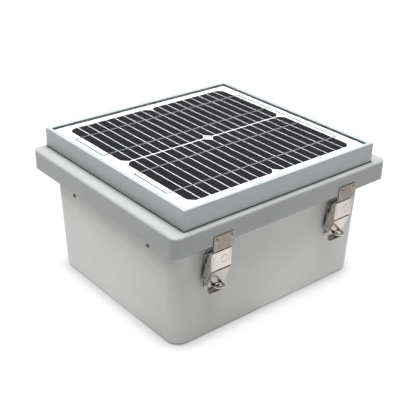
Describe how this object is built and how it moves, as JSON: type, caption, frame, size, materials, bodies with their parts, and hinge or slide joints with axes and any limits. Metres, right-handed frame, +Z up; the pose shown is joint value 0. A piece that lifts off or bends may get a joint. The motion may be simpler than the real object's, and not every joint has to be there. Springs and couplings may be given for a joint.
{
  "type": "fence energizer",
  "caption": "Solar fence energizer: drafted grey box with overhanging hinged lid, framed solar panel on top and draw latches with padlock eyes along the front.",
  "frame": {"origin": "middle of the enclosure's underside, where it rests", "axes": "+Z up, latches on the -Y side, lid hinge on the +Y side, terminals on the +X side"},
  "size_m": [0.3699, 0.3153, 0.1936],
  "materials": {
    "grey_grp": "moulded fibreglass-reinforced polyester, satin",
    "panel_aluminium": "satin anodised",
    "solar_glass": "clear tempered glass",
    "backsheet_white": "white backsheet",
    "silicon": "dark monocrystalline silicon",
    "ribbon_metal": "tinned copper ribbon",
    "stainless": "brushed stainless steel",
    "zinc_steel": "zinc-plated steel",
    "brass": "machined brass",
    "black_rubber": "black rubber",
    "foam_seal": "closed-cell foam",
    "black_plastic": "black moulded plastic",
    "red_plastic": "red moulded plastic",
    "green_lens": "green lens",
    "board_green": "circuit board",
    "capacitor_grey": "film capacitor case",
    "core_steel": "laminated core, varnished",
    "coil_tape": "insulating tape over the winding",
    "lead_red": "red lead insulation",
    "lead_black": "black lead insulation",
    "plate_aluminium": "mill-finish sheet"
  },
  "bodies": {
    "enclosure": {"body_tub": "grey_grp", "hinge_body_leaves": "stainless", "hinge_pins": "stainless", "hinge_body_rivets": "stainless", "latch_bases": "stainless", "latch_base_rivets": "stainless", "latch_lever_pins": "stainless", "side_wall_screws": "zinc_steel", "terminal_studs": "brass", "terminal_insulators": "black_plastic", "inner_insulators": "black_plastic", "terminal_nuts": "brass", "switch_housing": "black_plastic", "indicator_bezel": "black_plastic", "indicator_lens": "green_lens", "mounting_plate": "plate_aluminium", "plate_screws": "zinc_steel", "battery": "black_plastic", "battery_bracket": "zinc_steel", "board_standoffs": "brass", "circuit_board": "board_green", "board_screws": "zinc_steel", "storage_capacitors": "capacitor_grey", "transformer_core": "core_steel", "transformer_coil": "coil_tape", "charge_controller": "black_plastic", "battery_lead_red": "lead_red", "battery_lead_black": "lead_black", "output_leads": "lead_black", "solar_lead": "lead_black"},
    "lid_assembly": {"lid": "grey_grp", "lid_gasket": "black_rubber", "hinge_lid_leaves": "stainless", "hinge_lid_rivets": "stainless", "latch_keepers": "stainless", "keeper_rivets": "stainless", "panel_frame_front": "panel_aluminium", "panel_frame_back": "panel_aluminium", "panel_frame_left": "panel_aluminium", "panel_frame_right": "panel_aluminium", "panel_corner_keys": "plate_aluminium", "panel_glass": "solar_glass", "panel_backsheet": "backsheet_white", "solar_cells": "silicon", "cell_ribbons": "ribbon_metal", "panel_seal": "foam_seal", "panel_screws": "zinc_steel", "junction_box": "black_plastic", "junction_box_lid": "black_plastic", "panel_lead": "lead_black", "lead_grommet": "black_rubber"},
    "left_lever": {"left_latch_lever": "stainless", "left_strap_rivets": "stainless"},
    "left_strap": {"left_latch_strap": "stainless"},
    "right_lever": {"right_latch_lever": "stainless", "right_strap_rivets": "stainless"},
    "right_strap": {"right_latch_strap": "stainless"},
    "rocker": {"switch_rocker": "black_plastic"},
    "fence_knob": {"fence_terminal_knob": "red_plastic"},
    "ground_knob": {"ground_terminal_knob": "black_plastic"}
  },
  "joints": [
    {"name": "lid_hinge", "type": "hinge", "parent": "enclosure", "child": "lid_assembly", "pos_m": [0, 0.1565, 0.1376], "axis": [-1, 0, 0], "range_deg": [0, 110]},
    {"name": "left_lever_pivot", "type": "hinge", "parent": "enclosure", "child": "left_lever", "pos_m": [-0.1033, -0.143, 0.1026], "axis": [-1, 0, 0], "range_deg": [0, 105]},
    {"name": "left_strap_pivot", "type": "hinge", "parent": "left_lever", "child": "left_strap", "pos_m": [-0.1033, -0.1375, 0.0906], "axis": [-1, 0, 0], "range_deg": [-105, 0]},
    {"name": "right_lever_pivot", "type": "hinge", "parent": "enclosure", "child": "right_lever", "pos_m": [0.0989, -0.143, 0.1026], "axis": [-1, 0, 0], "range_deg": [0, 105]},
    {"name": "right_strap_pivot", "type": "hinge", "parent": "right_lever", "child": "right_strap", "pos_m": [0.0989, -0.1375, 0.0906], "axis": [-1, 0, 0], "range_deg": [-105, 0]},
    {"name": "power_rocker", "type": "hinge", "parent": "enclosure", "child": "rocker", "pos_m": [0.1538, 0.028, 0.09509], "axis": [0, -1, 0], "range_deg": [0, 18]},
    {"name": "fence_knob_turn", "type": "hinge", "parent": "enclosure", "child": "fence_knob", "pos_m": [0.1558, -0.072, 0.095], "axis": [0.9991, 0, -0.0425], "range_deg": [0, 1080]},
    {"name": "ground_knob_turn", "type": "hinge", "parent": "enclosure", "child": "ground_knob", "pos_m": [0.1558, -0.022, 0.095], "axis": [0.9991, 0, -0.0425], "range_deg": [0, 1080]}
  ],
  "couplings": [
    {"joint": "left_strap_pivot", "follows": "left_lever_pivot", "ratio": -1},
    {"joint": "right_strap_pivot", "follows": "right_lever_pivot", "ratio": -1}
  ]
}
